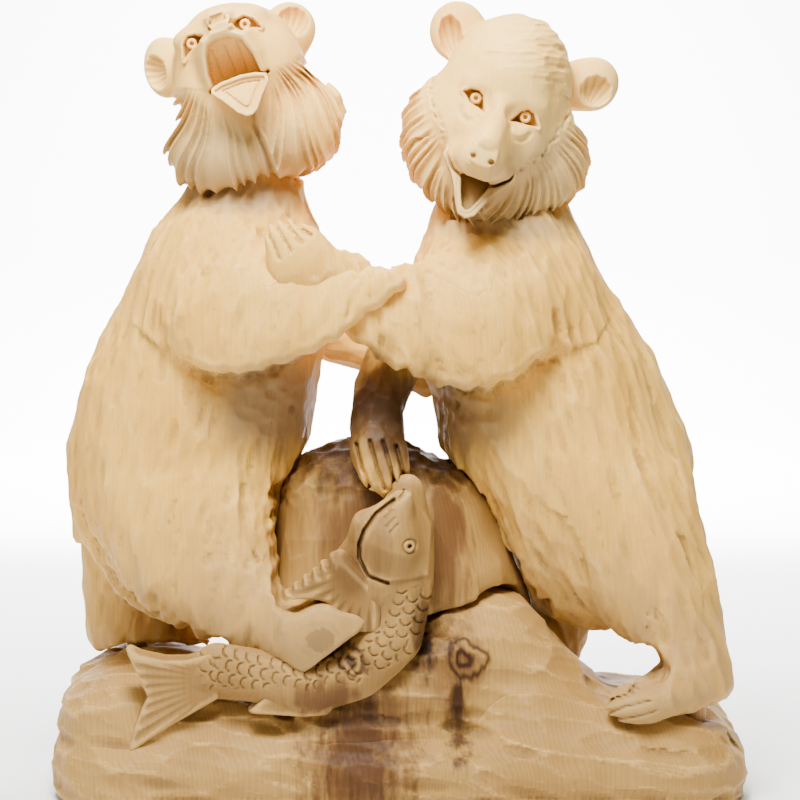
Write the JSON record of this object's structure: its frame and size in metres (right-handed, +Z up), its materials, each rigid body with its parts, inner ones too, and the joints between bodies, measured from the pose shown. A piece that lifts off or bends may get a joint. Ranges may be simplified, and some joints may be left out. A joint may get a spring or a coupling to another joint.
{
  "type": "carved wooden figurine",
  "caption": "Bears carved in pale wood, wrestling across a boulder with a fish on it, on a gouged base with rounded corners.",
  "frame": {"origin": "centre of the base's underside, where the figurine stands", "axes": "+Z up, the carving's front faces -Y, +X to the viewer's right"},
  "size_m": [0.376, 0.192, 0.422],
  "materials": {
    "pale_wood": "hand-gouged, matt, unpainted",
    "face_wood": "fine-cut, lightly sanded, matt",
    "ground_wood": "broad scoops with knots and brown stain, matt",
    "fish_wood": "cut scales and fin rays, brown stain, matt",
    "dowel_wood": "turned, glued in, hidden"
  },
  "bodies": {
    "root": {"base_block": "ground_wood", "base_mound": "ground_wood", "boulder": "ground_wood", "fish_body": "fish_wood", "fish_tail": "fish_wood", "fish_belly_fin": "fish_wood", "fish_side_fin": "fish_wood", "roaring_trunk": "pale_wood", "roaring_head": "face_wood", "roaring_jaw": "face_wood", "roaring_ruff": "face_wood", "roaring_left_ear": "face_wood", "roaring_right_ear": "face_wood", "roaring_near_arm": "pale_wood", "roaring_far_arm": "pale_wood", "roaring_near_leg": "pale_wood", "roaring_far_leg": "pale_wood", "roaring_tail": "pale_wood", "laughing_trunk": "pale_wood", "laughing_head": "face_wood", "laughing_jaw": "face_wood", "laughing_ruff": "face_wood", "laughing_left_ear": "face_wood", "laughing_right_ear": "face_wood", "laughing_near_arm": "pale_wood", "laughing_far_arm": "pale_wood", "laughing_near_leg": "pale_wood", "laughing_far_leg": "pale_wood", "laughing_tail": "pale_wood", "neck_dowels": "dowel_wood", "leg_dowels": "dowel_wood"}
  },
  "joints": []
}
